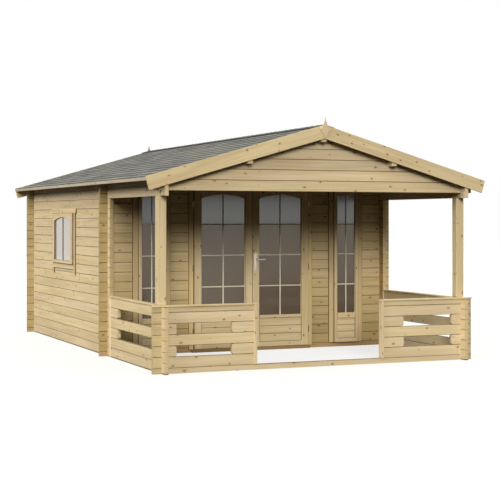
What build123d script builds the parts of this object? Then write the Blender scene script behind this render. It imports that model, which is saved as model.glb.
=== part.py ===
from build123d import *
from math import cos, radians, sin, tan
import os

# Log cabin with a gabled veranda, a double door, and windows beside the door and in both long walls.
# Lengths are in mm and angles in degrees. +X is to the right of the door, +Y to the back, +Z up, and
# z = 0 is the ground. The origin is under the middle of the whole building.

# Logs: squared, tongued logs in courses; walls cross at the corners with the courses half a log apart
log_height = 120
log_thick = 44
log_end = 100
log_chamfer = 5
cross_shift_share = 0.5
notch_share = 0.25

# Plan
cabin_width = 3800
cabin_depth = 3800
veranda_depth = 2000

# Heights, counted in logs
wall_course_count = 16
plate_course_count = 2
fence_course_count = 6

# Roof: boarded slopes on a ridge purlin, two side purlins, the gables and the plates, with a covering
roof_pitch = 16
roof_run = 2180
roof_board = 18
covering_thick = 6
rear_overhang = 240
purlin_wide = 60
purlin_high = 165
purlin_share = 0.476
barge_high = 150
barge_thick = 18
barge_lap = 8
eave_trim_thick = 18
eave_trim_high = 36

# Finials: kite-shaped boards over the joint of the barge boards
finial_thick = 18
finial_wide = 126
finial_rise = 108
finial_drop = 98
finial_neck_wide = 48
finial_neck_rise = 48

# Veranda posts and fences
post_side = 100
cap_thick = 18
cap_overhang = 12
end_board_thick = 30
end_board_wide = 74
entrance_width = 1570
corner_stub = 127
free_stub = 267
stub_round = 25
stub_bulge_share = 0.64
front_open_courses = (1, 3)
side_open_courses = (2, 4)

# Double door: leaves that lie in front of the wall and open outwards
door_half = 788
leaf_gap = 5
meeting_gap = 8
leaf_thick = 40
head_high = 35
sill_high = 40
sill_reach = 45
jamb_thick = 25
stop_wide = 20
casing_thick = 20
door_casing_wide = 60
door_stile = 97
top_rail = 72
arch_rise = 56
middle_rail = 33
bottom_rail = 60
door_panel_high = 300
glass_thick = 6
panel_board_count = 3
panel_recess = 8
panel_chamfer = 4

# Door hinges: turned knuckles on pins, each fixed by a stem
hinge_inset = 205
knuckle_radius = 7.5
knuckle_high = 40
knuckle_stand = 0.5
pin_radius = 4
pin_clearance = 0.08
pin_short = 2
knuckle_seat = 0.3
stem_radius = 4

# Lever handle on the right leaf
handle_inset = 46
handle_height = 1155
plate_wide = 40
plate_high = 240
plate_thick = 4
plate_drop = 33
spindle_radius = 8
spindle_room = 4
lever_reach = 125
lever_high = 18
lever_thick = 14
lever_stand = 38

# Front windows: tall fixed lights, just nearer to the door than the middle of the wall beside it
front_window_shift = 17
front_sash_half = 176
front_sash_stile = 45
front_casing_wide = 69
front_bottom_rail = 53
front_panel_high = 260
front_frame_thick = 29

# Side windows: wide arched lights in the long walls
side_window_place = 2005
side_sash_half = 515
side_sash_high = 678
side_sash_drop = 172
side_stile = 100
side_top_rail = 53
side_arch_rise = 47
side_bottom_rail = 38
side_casing_wide = 62
side_casing_thick = 20
side_casing_drop = 69
side_foot_drop = 68
side_head_high = 60
side_head_reach = 45
sash_proud = 20

# Places worked out from the sizes above
half_width = cabin_width / 2
wall_top = wall_course_count * log_height
plate_top = wall_top + plate_course_count * log_height
half_log = log_height * cross_shift_share
opening_top = plate_top - half_log
fence_top = fence_course_count * log_height
roof_front = veranda_depth + log_end
roof_rear = cabin_depth + rear_overhang
front_y = (roof_front - roof_rear) / 2
rear_y = front_y + cabin_depth
veranda_y = front_y - veranda_depth
front_faces = (front_y, front_y + log_thick)
rear_faces = (rear_y - log_thick, rear_y)
veranda_faces = (veranda_y, veranda_y + log_thick)
side_faces = (half_width - log_thick, half_width)
cross_half = half_width + log_end
pitch = radians(roof_pitch)
apex = plate_top + half_width * tan(pitch)
leaf_front = front_y - leaf_thick
casing_front = front_y - casing_thick
door_opening = door_half + leaf_gap
door_cut = door_opening + jamb_thick
front_window_place = (door_cut + half_width) / 2 - front_window_shift
door_meeting = meeting_gap / 2
frame_top = opening_top - head_high
leaf_top = frame_top - leaf_gap
leaf_bottom = sill_high + leaf_gap
panel_bottom = leaf_bottom + bottom_rail
panel_top = panel_bottom + door_panel_high
glass_bottom = panel_top + middle_rail
glass_crown = leaf_top - top_rail
glass_spring = glass_crown - arch_rise
side_sash_top = wall_top - side_sash_drop
side_sash_bottom = side_sash_top - side_sash_high
overrun = log_thick


def block(x, y, z):
    """Box between two values on each axis."""
    middle = [(low + high) / 2 for low, high in (x, y, z)]
    size = [abs(high - low) for low, high in (x, y, z)]
    return Pos(*middle) * Box(*size)


def mirrored(shape):
    """The same piece on the other side of the building."""
    return mirror(shape, about=Plane.YZ)


def pair(shape):
    """The piece and its twin on the other side of the building."""
    return Compound([shape, mirrored(shape)])


def sided(span, side):
    """Two distances from the middle as places on X, on the right (1) or the left (-1)."""
    return tuple(sorted(side * distance for distance in span))


def prism_y(corners, y):
    """Solid with an outline of (x, z) corners, from one y to another."""
    outline = Polyline(*[(x, y[0], z) for x, z in corners], close=True)
    return extrude(make_face(outline), amount=y[1] - y[0], dir=(0, 1, 0))


def side_joints(bottom, top):
    """Heights of the joints between whole logs, as in the long walls."""
    heights = [log_height * count for count in range(int(top / log_height) + 1)]
    return [height for height in heights if bottom < height < top]


def cross_joints(bottom, top):
    """Heights of the joints in the walls that start with half a log."""
    heights = [log_height * count + half_log for count in range(int(top / log_height) + 1)]
    return [height for height in heights if bottom < height < top]


def stack(along, span, faces, bottom, top, joints, chamfer=log_chamfer):
    """Logs or boards laid on each other: a flat stack with a V along each joint, on both faces."""
    near, far = faces
    rising = [(near, bottom)]
    for joint in joints:
        rising.append((near, joint - chamfer))
        rising.append((near + chamfer, joint))
        rising.append((near, joint + chamfer))
    rising.append((near, top))
    falling = [(near + far - across, height) for across, height in reversed(rising)]
    section = rising + falling
    length = span[1] - span[0]
    if along == "x":
        outline = Polyline(*[(span[0], across, height) for across, height in section], close=True)
        return extrude(make_face(outline), amount=length, dir=(1, 0, 0))
    outline = Polyline(*[(across, span[0], height) for across, height in section], close=True)
    return extrude(make_face(outline), amount=length, dir=(0, 1, 0))


def notches(x, y, bottom, top, shift):
    """Half-log notches where another wall crosses, one for each of that wall's logs."""
    reach = log_height * notch_share
    cuts = []
    for count in range(int(top / log_height) + 1):
        middle = log_height * count + shift
        low = max(middle - reach, bottom)
        high = min(middle + reach, top)
        if high > low:
            cuts.append(block(x, y, (low, high)))
    return cuts


def roof_under(x):
    """Height of the roof boards' underside."""
    return apex - abs(x) * tan(pitch)


def slope_point(along, out, side):
    """Point on a roof slope: a distance down the slope from the apex, and one square to it."""
    x = along * cos(pitch) + out * sin(pitch)
    z = apex - along * sin(pitch) + out * cos(pitch)
    return (side * x, z)


def slope_board(y, low, high, end, side):
    """Board along a slope, cut plumb at the ridge and square at the eave."""
    corners = [(0, apex + low / cos(pitch)), slope_point(end, low, side)]
    corners += [slope_point(end, high, side), (0, apex + high / cos(pitch))]
    return prism_y(corners, y)


def above_roof(y):
    """All that lies over the roof boards' underside, to trim the gables with."""
    reach = cross_half + overrun
    sky = apex + overrun
    eave = roof_under(reach)
    corners = [(-reach, eave), (0, apex), (reach, eave), (reach, sky), (-reach, sky)]
    return prism_y(corners, y)


def purlin(place, y):
    """Purlin under the roof boards, its top planed to the slope."""
    low = roof_under(place) - purlin_high
    left = place - purlin_wide / 2
    right = place + purlin_wide / 2
    corners = [(left, low), (right, low), (right, roof_under(right))]
    if left < 0 < right:
        corners.append((0, apex))
    corners.append((left, roof_under(left)))
    return prism_y(corners, y)


def arched_face(span, bottom, spring, crown):
    """Upright outline with a segmental head, standing in the XZ plane."""
    left, right = span
    middle = (left + right) / 2
    sides = Polyline((left, 0, spring), (left, 0, bottom), (right, 0, bottom), (right, 0, spring))
    head = ThreePointArc((right, 0, spring), (middle, 0, crown), (left, 0, spring))
    return make_face(sides + head)


def arched(span, y, bottom, spring, crown):
    """Solid of the arched outline between two places on Y."""
    face = arched_face(span, bottom, spring, crown)
    return Pos(0, y[0], 0) * extrude(face, amount=y[1] - y[0], dir=(0, 1, 0))


def fence_slot(span, z, along, place):
    """Gap in a fence panel between two log stubs, whose ends are rounded."""
    left, right = span
    low, high = z
    bulge = stub_round * stub_bulge_share

    def corner(end, outward, level, inward):
        start = (end + outward * stub_round, level)
        middle = (end + outward * (stub_round - bulge), level + inward * (stub_round - bulge))
        finish = (end, level + inward * stub_round)
        return start, middle, finish

    left_corners = [corner(left, -1, high, -1), corner(left, -1, low, 1)[::-1]]
    right_corners = [corner(right, 1, low, 1), corner(right, 1, high, -1)[::-1]]
    corners = left_corners + right_corners

    def lift(point):
        if along == "x":
            return (point[0], place[0], point[1])
        return (place[0], point[0], point[1])

    edges = []
    for index, arc in enumerate(corners):
        following = corners[(index + 1) % len(corners)]
        edges.append(ThreePointArc(*[lift(point) for point in arc]))
        edges.append(Line(lift(arc[-1]), lift(following[0])))
    direction = (0, 1, 0) if along == "x" else (1, 0, 0)
    return extrude(make_face(edges), amount=place[1] - place[0], dir=direction)


def turned(radius, centre, low, high):
    """Upright cylinder."""
    return Pos(centre[0], centre[1], (low + high) / 2) * Cylinder(radius, high - low)


parts = {}

# Long walls below the plates, each with its window opening
side_span = (front_y - log_end, rear_y + log_end)
side_window_y = front_y + side_window_place
right_wall = stack("y", side_span, side_faces, 0, wall_top, side_joints(0, wall_top))
through_side = (side_faces[0] - overrun, side_faces[1] + overrun)
side_window_y_span = (side_window_y - side_sash_half, side_window_y + side_sash_half)
right_wall -= block(through_side, side_window_y_span, (side_sash_bottom, side_sash_top))
right_wall -= notches(through_side, front_faces, 0, wall_top, 0)
right_wall -= notches(through_side, rear_faces, 0, wall_top, 0)
parts["right_wall"] = right_wall
parts["left_wall"] = mirrored(right_wall)

# Plates: the top logs of the long walls, run on over the veranda, planed to the roof
plate_span = (front_y - roof_front, rear_y + log_end)
plate_joints = side_joints(wall_top, plate_top)
right_plate = stack("y", plate_span, side_faces, wall_top, plate_top + overrun, plate_joints)
right_plate -= above_roof((plate_span[0] - overrun, plate_span[1] + overrun))
right_plate -= notches(through_side, front_faces, wall_top, plate_top + half_log, 0)
right_plate -= notches(through_side, rear_faces, wall_top, plate_top + half_log, 0)
gable_bottom = wall_top + half_log
right_plate -= notches(through_side, veranda_faces, gable_bottom, plate_top + half_log, 0)
parts["right_plate"] = right_plate
parts["left_plate"] = mirrored(right_plate)

# Purlins, from barge board to barge board
purlin_y = (front_y - roof_front, front_y + roof_rear)
purlin_place = half_width * purlin_share
parts["ridge_purlin"] = purlin(0, purlin_y)
parts["side_purlins"] = pair(purlin(purlin_place, purlin_y))
purlins = [parts["ridge_purlin"], *parts["side_purlins"].solids()]


def cross_wall(span, faces, bottom, top):
    """Wall across the building, notched over the long walls that it crosses."""
    wall = stack("x", span, faces, bottom, top, cross_joints(bottom, top))
    through = (faces[0] - overrun, faces[1] + overrun)
    for side in (1, -1):
        x = sided(side_faces, side)
        if span[0] < x[1] and span[1] > x[0]:
            wall -= notches(x, through, bottom, min(top, plate_top), half_log)
    return wall


def gable(faces, bottom):
    """Wall across the building up to the roof, with the purlins let into it."""
    wall = cross_wall((-cross_half, cross_half), faces, bottom, apex)
    wall -= above_roof((faces[0] - overrun, faces[1] + overrun))
    return wall - purlins


parts["rear_wall"] = gable(rear_faces, 0)
parts["front_gable"] = gable(front_faces, opening_top)
parts["veranda_gable"] = gable(veranda_faces, gable_bottom)

# Front wall under its gable: half logs at the ground, and a pier at each side of the windows
front_cut_half = front_sash_half + front_frame_thick
window_cut = (front_window_place - front_cut_half, front_window_place + front_cut_half)
right_base = cross_wall((door_cut, cross_half), front_faces, 0, half_log)
parts["front_base_logs"] = pair(right_base)
corner_pier = cross_wall((window_cut[1], cross_half), front_faces, half_log, opening_top)
parts["corner_piers"] = pair(corner_pier)
middle_pier = cross_wall((door_cut, window_cut[0]), front_faces, half_log, opening_top)
parts["middle_piers"] = pair(middle_pier)

# Roof boards and their covering, barge boards, eave trims and finials
barge_top = roof_board + barge_lap
barge_low = barge_top - barge_high
barge_end = roof_run + eave_trim_thick
front_barge_y = (purlin_y[0] - barge_thick, purlin_y[0])
rear_barge_y = (purlin_y[1], purlin_y[1] + barge_thick)
covering_top = roof_board + covering_thick
for side, name in ((1, "right"), (-1, "left")):
    parts[f"{name}_roof"] = slope_board(purlin_y, 0, roof_board, roof_run, side)
    parts[f"{name}_roof_covering"] = slope_board(purlin_y, roof_board, covering_top, barge_end, side)
    front_barge = slope_board(front_barge_y, barge_low, barge_top, barge_end, side)
    rear_barge = slope_board(rear_barge_y, barge_low, barge_top, barge_end, side)
    parts[f"{name}_barges"] = Compound([front_barge, rear_barge])

trim_low = roof_board - eave_trim_high
trim_corners = [slope_point(roof_run, trim_low, 1), slope_point(barge_end, trim_low, 1)]
trim_corners += [slope_point(barge_end, roof_board, 1), slope_point(roof_run, roof_board, 1)]
right_trim = prism_y(trim_corners, purlin_y)
parts["eave_trims"] = pair(right_trim)

finial_middle = apex + barge_top / cos(pitch) - finial_neck_rise


def finial(y):
    """Kite-shaped board with a drawn-out top."""
    wide = finial_wide / 2
    neck = finial_neck_wide / 2
    tip = (0, 0, finial_middle + finial_rise + finial_neck_rise / 2)
    foot = (0, 0, finial_middle - finial_drop)
    right_curve = ThreePointArc((wide, 0, finial_middle), (neck, 0, finial_middle + finial_neck_rise), tip)
    left_curve = ThreePointArc(tip, (-neck, 0, finial_middle + finial_neck_rise), (-wide, 0, finial_middle))
    lower = Polyline((-wide, 0, finial_middle), foot, (wide, 0, finial_middle))
    board = extrude(make_face(right_curve + left_curve + lower), amount=y[1] - y[0], dir=(0, 1, 0))
    return Pos(0, y[0], 0) * board


front_finial = finial((front_barge_y[0] - finial_thick, front_barge_y[0]))
rear_finial = finial((rear_barge_y[1], rear_barge_y[1] + finial_thick))
parts["finials"] = Compound([front_finial, rear_finial])

# Fences: half log across the entrance, log panels with open courses, end boards and caps
through_front = (veranda_faces[0] - overrun, veranda_faces[1] + overrun)
beam = cross_wall((-cross_half, cross_half), veranda_faces, 0, half_log)
parts["front_base_beam"] = beam
entrance_half = entrance_width / 2
panel_end = entrance_half + end_board_thick
right_front = cross_wall((panel_end, cross_half), veranda_faces, half_log, fence_top)
front_slot_span = (panel_end + free_stub, side_faces[0] - corner_stub)
for count in front_open_courses:
    low = half_log + count * log_height
    right_front -= fence_slot(front_slot_span, (low, low + log_height), "x", through_front)
parts["front_fences"] = pair(right_front)

side_panel_end = front_y - log_end - end_board_thick
side_fence_span = (veranda_y - log_end, side_panel_end)
right_side = stack("y", side_fence_span, side_faces, 0, fence_top, side_joints(0, fence_top))
right_side -= notches(through_side, veranda_faces, 0, fence_top, 0)
side_slot_span = (veranda_faces[1] + corner_stub, side_panel_end - free_stub)
for count in side_open_courses:
    low = count * log_height
    right_side -= fence_slot(side_slot_span, (low, low + log_height), "y", through_side)
parts["side_fences"] = pair(right_side)

board_lap = (end_board_wide - log_thick) / 2
front_board_y = (veranda_faces[0] - board_lap, veranda_faces[1] + board_lap)
front_end_board = block((entrance_half, panel_end), front_board_y, (half_log, fence_top))
side_board_x = (side_faces[0] - board_lap, side_faces[1] + board_lap)
side_end_board = block(side_board_x, (side_panel_end, front_y - log_end), (0, fence_top))
end_boards = [front_end_board, side_end_board]
parts["fence_end_boards"] = Compound(end_boards + [mirrored(board) for board in end_boards])

cap_z = (fence_top, fence_top + cap_thick)
cap_x = (side_faces[0] - cap_overhang, side_faces[1] + cap_overhang)
cap_y = (veranda_faces[0] - cap_overhang, veranda_faces[1] + cap_overhang)
front_cap = block((entrance_half - cap_overhang, cross_half + cap_overhang), cap_y, cap_z)
side_cap = block(cap_x, (cap_y[1], front_y - log_end), cap_z)
parts["front_fence_caps"] = pair(front_cap)
parts["side_fence_caps"] = pair(side_cap)

# Posts, from the caps to the plates, just behind the front panels
post_x_middle = half_width - log_thick / 2
post_x = (post_x_middle - post_side / 2, post_x_middle + post_side / 2)
right_post = block(post_x, (veranda_faces[1], veranda_faces[1] + post_side), (cap_z[1], wall_top))
parts["veranda_posts"] = pair(right_post)

# Door frame: jambs with stops and casings, a head and a sill
stop_front = front_y + leaf_gap
wall_back = front_faces[1]
jamb = block((door_opening, door_cut), (front_y, wall_back), (sill_high, frame_top))
jamb += block((door_opening - stop_wide, door_cut), (stop_front, wall_back), (sill_high, frame_top))
casing_half = door_opening + door_casing_wide
jamb += block((door_opening, casing_half), (casing_front, front_y), (sill_high, frame_top))
parts["door_jambs"] = pair(jamb)
head = block((-door_cut, door_cut), (front_y, wall_back), (frame_top, opening_top))
casing_top = frame_top + door_casing_wide
head += block((-casing_half, casing_half), (casing_front, front_y), (frame_top, casing_top))
parts["door_head"] = head
parts["door_sill"] = block((-door_cut, door_cut), (front_y - sill_reach, wall_back), (0, sill_high))

# Door leaves: stiles and rails around an arched light, over a boarded panel
leaf_y = (leaf_front, front_y)
glass_x = (door_stile, door_half - door_stile)
panel_y = (leaf_front + panel_recess, front_y - panel_recess)
glass_y_middle = (leaf_front + front_y) / 2
glass_y = (glass_y_middle - glass_thick / 2, glass_y_middle + glass_thick / 2)
leaf_through = (leaf_front - overrun, front_y + overrun)


def boarded_panel(x, y, bottom, top):
    """Horizontal boards with a V at each joint."""
    board = (top - bottom) / panel_board_count
    joints = [bottom + board * count for count in range(1, panel_board_count)]
    return stack("x", x, y, bottom, top, joints, panel_chamfer)


leaf = block((door_meeting, door_half), leaf_y, (leaf_bottom, leaf_top))
leaf -= arched(glass_x, leaf_through, glass_bottom, glass_spring, glass_crown)
leaf -= block(glass_x, leaf_through, (panel_bottom, panel_top))
leaf += boarded_panel(glass_x, panel_y, panel_bottom, panel_top)
parts["left_door_leaf"] = mirrored(leaf)
handle_x = door_meeting + handle_inset
along_y = Rotation(90, 0, 0)


def cross_rod(radius, x, z, y):
    """Round rod from front to back."""
    return Pos(x, (y[0] + y[1]) / 2, z) * along_y * Cylinder(radius, y[1] - y[0])


spindle_hole = cross_rod(spindle_radius + spindle_room, handle_x, handle_height, leaf_through)
parts["right_door_leaf"] = leaf - spindle_hole
pane = arched(glass_x, glass_y, glass_bottom, glass_spring, glass_crown)
parts["right_door_glass"] = pane
parts["left_door_glass"] = mirrored(pane)

# Hinges: a pin on the frame and a knuckle on the leaf, at three heights
pivot_x = door_opening + pin_radius + knuckle_stand
pivot_y = casing_front - knuckle_radius - knuckle_stand
pivot = (pivot_x, pivot_y)
frame_knuckles = []
leaf_knuckles = []
along_x = Rotation(0, 90, 0)
low_hinge = leaf_bottom + hinge_inset
high_hinge = leaf_top - hinge_inset
for height in (low_hinge, (low_hinge + high_hinge) / 2, high_hinge):
    lower = turned(knuckle_radius, pivot, height - knuckle_high, height)
    lower += turned(pin_radius, pivot, height, height + knuckle_high - pin_short)
    stem_y = (pivot_y, casing_front)
    lower += cross_rod(stem_radius, pivot_x, height - knuckle_high / 2, stem_y)
    frame_knuckles.append(lower)
    bottom = height + knuckle_seat
    upper = turned(knuckle_radius, pivot, bottom, bottom + knuckle_high)
    stem = Pos((door_half + pivot_x) / 2, pivot_y, bottom + knuckle_high / 2) * along_x
    upper += stem * Cylinder(stem_radius, pivot_x - door_half)
    upper -= turned(pin_radius + pin_clearance, pivot, bottom, bottom + knuckle_high)
    leaf_knuckles.append(upper)
frame_knuckles += [mirrored(lower) for lower in frame_knuckles]
parts["door_hinge_pins"] = Compound(frame_knuckles)
parts["right_leaf_hinges"] = Compound(leaf_knuckles)
parts["left_leaf_hinges"] = Compound([mirrored(upper) for upper in leaf_knuckles])

# Lever handle: a plate on each face of the leaf, and two levers on one spindle
plate_x = (handle_x - plate_wide / 2, handle_x + plate_wide / 2)
plate_middle = handle_height - plate_drop
plate_z = (plate_middle - plate_high / 2, plate_middle + plate_high / 2)
plates = []
for y in ((leaf_front - plate_thick, leaf_front), (front_y, front_y + plate_thick)):
    plate = block(plate_x, y, plate_z)
    plates.append(plate - cross_rod(spindle_radius + pin_clearance, handle_x, handle_height, y))
parts["handle_plates"] = Compound(plates)
lever_off = plate_thick + lever_stand
lever_front = (leaf_front - lever_off - lever_thick, leaf_front - lever_off)
lever_back = (front_y + lever_off, front_y + lever_off + lever_thick)
lever_z = (handle_height - lever_high / 2, handle_height + lever_high / 2)
levers = cross_rod(spindle_radius, handle_x, handle_height, (lever_front[0], lever_back[1]))
for y in (lever_front, lever_back):
    levers += block((handle_x, handle_x + lever_reach), y, lever_z)
    levers += cross_rod(lever_high / 2, handle_x, handle_height, y)
parts["door_lever"] = levers

# Front windows: casing with its frame in the wall, sash with a boarded panel, and glass
sash_x = (front_window_place - front_sash_half, front_window_place + front_sash_half)
casing_x = (sash_x[0] - front_casing_wide, sash_x[1] + front_casing_wide)
casing = block(casing_x, (casing_front, front_y), (half_log, casing_top))
casing += block(window_cut, front_faces, (half_log, opening_top))
casing -= block(sash_x, (casing_front - overrun, wall_back + overrun), (half_log, frame_top))
parts["front_window_casings"] = pair(casing)
light_x = (sash_x[0] + front_sash_stile, sash_x[1] - front_sash_stile)
sash = block(sash_x, leaf_y, (half_log, frame_top))
sash -= block(light_x, leaf_through, (glass_bottom, glass_crown))
front_panel_bottom = half_log + front_bottom_rail
front_panel_top = front_panel_bottom + front_panel_high
sash -= block(light_x, leaf_through, (front_panel_bottom, front_panel_top))
sash += boarded_panel(light_x, panel_y, front_panel_bottom, front_panel_top)
parts["front_window_sashes"] = pair(sash)
window_pane = block(light_x, glass_y, (glass_bottom, glass_crown))
parts["front_window_glass"] = pair(window_pane)

# Side windows: casing boards on the wall, an arched sash through it, and glass
side_out = side_faces[1]
side_casing_x = (side_out, side_out + side_casing_thick)
casing_y = (side_window_y_span[0] - side_casing_wide, side_window_y_span[1] + side_casing_wide)
foot_z = (side_sash_bottom - side_foot_drop, side_sash_bottom)
boards = block(side_casing_x, casing_y, (foot_z[0], side_sash_top))
boards += block(side_casing_x, casing_y, (foot_z[0] - side_casing_drop, foot_z[0]))
boards -= block(side_casing_x, side_window_y_span, (foot_z[0] - side_casing_drop, foot_z[0]))
boards -= block(side_casing_x, side_window_y_span, (side_sash_bottom, side_sash_top))
head_y = (casing_y[0] - side_head_reach, casing_y[1] + side_head_reach)
boards += block(side_casing_x, head_y, (side_sash_top, side_sash_top + side_head_high))
parts["side_window_casings"] = pair(boards)
turn = Pos(0, side_window_y, 0) * Rotation(0, 0, 90)
side_sash_x = (side_faces[0], side_casing_x[1] + sash_proud)
side_glass_half = side_sash_half - side_stile
side_light = (-side_glass_half, side_glass_half)
side_glass_crown = side_sash_top - side_top_rail
side_light_z = (side_sash_bottom + side_bottom_rail, side_glass_crown - side_arch_rise, side_glass_crown)
sash_cut = arched(side_light, (-side_sash_x[1] - overrun, -side_faces[0] + overrun), *side_light_z)
side_sash = block(side_sash_x, side_window_y_span, (side_sash_bottom, side_sash_top)) - turn * sash_cut
parts["side_window_sashes"] = pair(side_sash)
side_glass_middle = (side_sash_x[1] + side_out) / 2
side_glass_y = (-side_glass_middle - glass_thick / 2, -side_glass_middle + glass_thick / 2)
side_pane = turn * arched(side_light, side_glass_y, *side_light_z)
parts["side_window_glass"] = pair(side_pane)

os.makedirs("parts", exist_ok=True)
for node, shape in parts.items():
    export_step(shape, f"parts/{node}.step")
print(len(parts), "nodes")
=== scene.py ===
import bmesh
import bpy
import math
import random
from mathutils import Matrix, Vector


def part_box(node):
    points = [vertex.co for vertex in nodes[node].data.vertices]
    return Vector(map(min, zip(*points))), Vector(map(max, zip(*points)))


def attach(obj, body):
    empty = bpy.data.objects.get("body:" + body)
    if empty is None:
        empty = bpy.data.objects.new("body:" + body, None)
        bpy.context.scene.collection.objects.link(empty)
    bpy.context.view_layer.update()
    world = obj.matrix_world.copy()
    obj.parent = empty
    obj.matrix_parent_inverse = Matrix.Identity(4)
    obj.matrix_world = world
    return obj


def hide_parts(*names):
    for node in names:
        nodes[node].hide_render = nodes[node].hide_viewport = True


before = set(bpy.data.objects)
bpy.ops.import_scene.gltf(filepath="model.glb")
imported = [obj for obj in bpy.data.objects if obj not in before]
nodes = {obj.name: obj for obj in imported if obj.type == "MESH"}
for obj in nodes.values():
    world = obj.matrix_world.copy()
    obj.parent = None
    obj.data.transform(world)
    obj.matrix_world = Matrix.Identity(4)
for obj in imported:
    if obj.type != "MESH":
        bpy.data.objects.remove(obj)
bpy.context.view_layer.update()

# Long walls: squared spruce logs, planed and left raw, laid in courses with tongues and grooves.
# Their ends run past the corners, where each log is notched over the one it crosses. The wood is
# pale honey in colour, with small brown knots and a dark line in the V of every joint.
LOG_HEIGHT = 0.12
SPRUCE_PALE = (0.660, 0.540, 0.335)
SPRUCE_DARK = (0.505, 0.375, 0.200)
KNOT_CORE = (0.235, 0.115, 0.045)
KNOT_RIM = (0.110, 0.050, 0.020)
KNOT_CELLS = 7.5
KNOT_STRETCH = 0.6
KNOT_CHANCE = 0.1
KNOT_SIZES = (0.012, 0.080)
KNOT_EDGE = (1.0, 0.7)
KNOT_FADE = (0.45, 0.85)
KNOT_SHARE = 0.85
HALO_EDGE = (2.8, 0.9)
HALO_SHARE = 0.45
SHIFT_ALONG = 9.0
SHIFT_ACROSS = 5.0
NOISE_SPAN = (0.3, 0.7)
FIBRE_STRETCH = (2.2, 85.0, 85.0)
FIBRE_SPAN = (0.40, 0.72)
FIBRE_SHARE = 0.40
FIBRE_SWING = 0.02
BAND_STRETCH = (0.7, 17.0, 17.0)
BAND_SPAN = (0.38, 0.70)
BAND_SHARE = 0.38
PATCH_STRETCH = (0.9, 3.0, 3.0)
PATCH_TONES = (0.95, 1.04)
LOG_TONES = (0.95, 1.05)
LOG_BLUES = (0.95, 1.04)
GRAIN_RELIEF = 0.15
GRAIN_DEPTH = 0.002
WOOD_ROUGH = (0.60, 0.75)
WOOD_GLOSS = 0.06
JOINT_BROWN = (0.085, 0.045, 0.018)
JOINT_HALF = 0.006
JOINT_CORE = 0.001
JOINT_SHARE = 0.75
END_JOINT_SHARE = 0.45
END_PALE = (0.650, 0.515, 0.300)
END_DARK = (0.540, 0.405, 0.210)
END_TURN = (0.75, 0.95)
END_SHARE = 0.85
RING_SCALE = 60.0
RING_WANDER = 1.5
END_SKIN = 0.001
# Painted shade on the log ends of the left wall that look to the front.
END_SHADE = (0.77, 0.75, 0.70)
# Painted shade on the inner face of the right wall's ends, in the back corner of the veranda.
NOOK_SHADE = (0.84, 0.72, 0.55)
# Painted contact shadow along the foot of the logs, where they meet the ground.
CONTACT_TOP = 0.014
CONTACT_SHADOW = (0.34, 0.32, 0.29)


def wire(tree, kind, inputs=None, **settings):
    """Adds a shader node, with its settings, and links or sets its inputs."""
    made = tree.nodes.new(kind)
    for key, value in settings.items():
        setattr(made, key, value)
    for socket, value in (inputs or {}).items():
        if isinstance(value, bpy.types.NodeSocket):
            tree.links.new(value, made.inputs[socket])
        else:
            made.inputs[socket].default_value = value
    return made


def maths(tree, operation, first, second=0.0, third=0.0):
    """Output of one arithmetic step."""
    return wire(tree, "ShaderNodeMath", {0: first, 1: second, 2: third}, operation=operation).outputs[0]


def ramp(tree, value, low, high, out_low=0.0, out_high=1.0):
    """Smooth step of a value from one range to another."""
    inputs = {0: value, 1: low, 2: high, 3: out_low, 4: out_high}
    return wire(tree, "ShaderNodeMapRange", inputs, interpolation_type="SMOOTHSTEP").outputs[0]


def blend(tree, share, first, second, kind="MIX"):
    """Two colours mixed by a share."""
    made = wire(tree, "ShaderNodeMix", data_type="RGBA", blend_type=kind)
    for index, value in ((0, share), (6, first), (7, second)):
        if isinstance(value, bpy.types.NodeSocket):
            tree.links.new(value, made.inputs[index])
        elif index == 0:
            made.inputs[index].default_value = value
        else:
            made.inputs[index].default_value = (*value, 1.0)
    return made.outputs[2]


def noise(tree, spot, stretch, detail):
    """Noise drawn out by a scale of its own on each axis of a place."""
    scaled = wire(tree, "ShaderNodeVectorMath", {0: spot, 1: stretch}, operation="MULTIPLY")
    inputs = {"Vector": scaled.outputs[0], "Scale": 1.0, "Detail": detail}
    return wire(tree, "ShaderNodeTexNoise", inputs).outputs["Fac"]


def new_material(name):
    """Empty node material with a Principled shader; gives the material, its tree and the shader."""
    made = bpy.data.materials.new(name)
    made.use_nodes = True
    tree = made.node_tree
    return made, tree, tree.nodes["Principled BSDF"]


def swap(tree, share, first, second):
    """The first value where the share is nought, and the second where it is one."""
    change = maths(tree, "SUBTRACT", second, first)
    return maths(tree, "MULTIPLY_ADD", change, share, first)


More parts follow.
